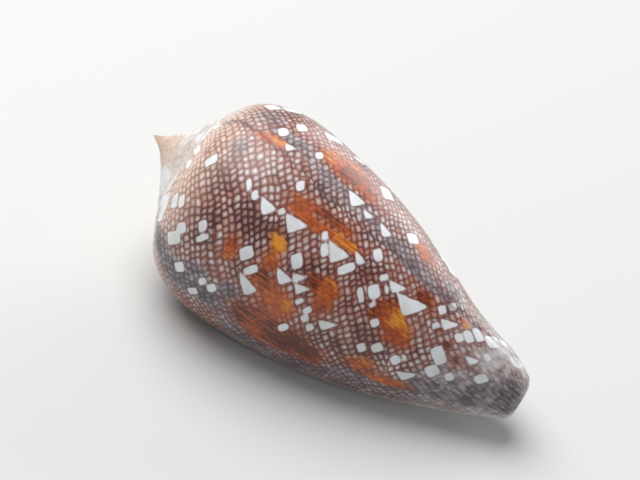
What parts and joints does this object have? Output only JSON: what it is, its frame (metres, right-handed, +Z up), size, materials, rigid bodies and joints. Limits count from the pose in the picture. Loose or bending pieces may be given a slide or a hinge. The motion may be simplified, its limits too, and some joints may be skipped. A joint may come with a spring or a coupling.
{
  "type": "cone shell",
  "caption": "Netted cone shell lying aperture down, with a concave spire, rounded shoulder and narrow aperture.",
  "frame": {"origin": "middle of the bounding box's base, on the surface that the shell rests on", "axes": "+X towards the siphonal end with the apex at -X, +Z up, the outer lip on the -Y side"},
  "size_m": [0.0502, 0.0246, 0.0231],
  "materials": {
    "shell": "glossy natural shell, pinkish white under a net of fine brown lines, with orange-brown patches"
  },
  "bodies": {
    "root": {"shell": "shell"}
  },
  "joints": []
}
